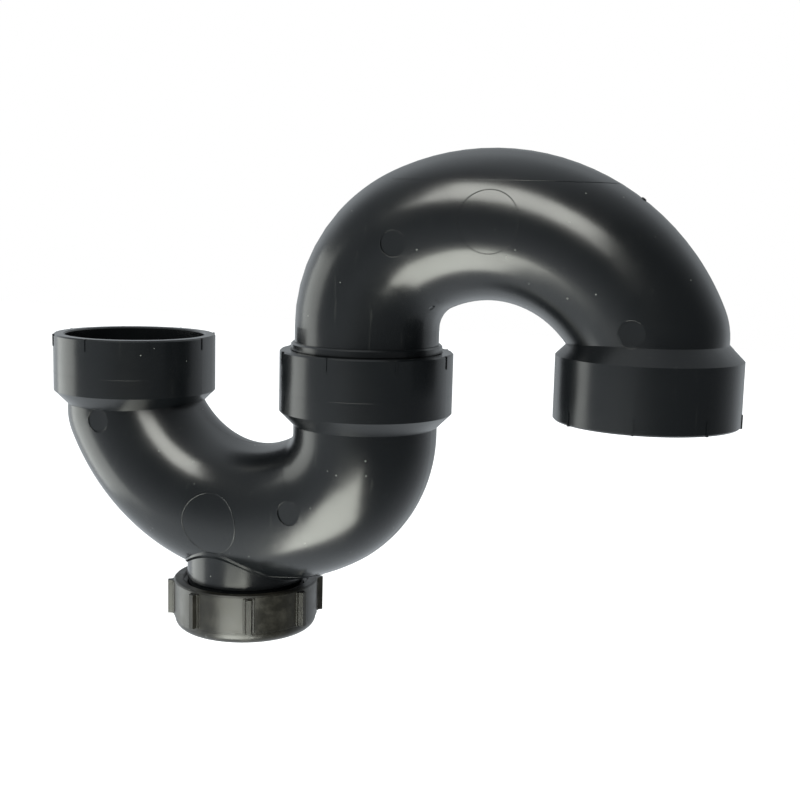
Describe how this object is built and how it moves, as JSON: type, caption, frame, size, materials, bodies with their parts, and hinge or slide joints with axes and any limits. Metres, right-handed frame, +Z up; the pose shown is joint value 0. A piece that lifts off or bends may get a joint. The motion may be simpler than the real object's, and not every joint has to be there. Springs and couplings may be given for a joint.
{
  "type": "p trap",
  "caption": "Moulded plastic drain trap: a U bend with a lugged cleanout cap at its bottom, and a return bend that swivels in its outlet hub and turns down to a socket.",
  "frame": {"origin": "centre of the inlet hub's mouth", "axes": "+Z up, along the inlet hub's axis and out of its mouth; +X from the inlet hub to the trap bend's outlet hub; +Y away from the side that carries the round moulding marks"},
  "size_m": [0.2386, 0.0665, 0.1638],
  "materials": {
    "abs_black": "semi-gloss injection moulded ABS",
    "cap_black": "satin moulded polypropylene",
    "gasket_rubber": "matte"
  },
  "bodies": {
    "trap_bend": {"trap_bend": "abs_black", "trap_inlet_socket": "abs_black", "trap_outlet_socket": "abs_black"},
    "return_bend": {"return_bend": "abs_black"},
    "cleanout_gasket": {"cleanout_gasket": "gasket_rubber"},
    "cleanout_cap": {"cleanout_cap": "cap_black"}
  },
  "joints": [
    {"name": "return_swivel", "type": "hinge", "parent": "trap_bend", "child": "return_bend", "pos_m": [0.0915, 0, 0], "axis": [0, 0, 1], "range_deg": [-146, 134]},
    {"name": "cleanout_travel", "type": "slide", "parent": "trap_bend", "child": "cleanout_gasket", "axis": [0, 0, -1], "range_m": [0, 0.00884]},
    {"name": "cleanout_turn", "type": "hinge", "parent": "cleanout_gasket", "child": "cleanout_cap", "pos_m": [0.0466, 0, -0.09], "axis": [0, 0, -1], "range_deg": [0, 1440]}
  ],
  "couplings": [
    {"joint": "cleanout_travel", "follows": "cleanout_turn", "m_per_rad": 0.00035157}
  ]
}
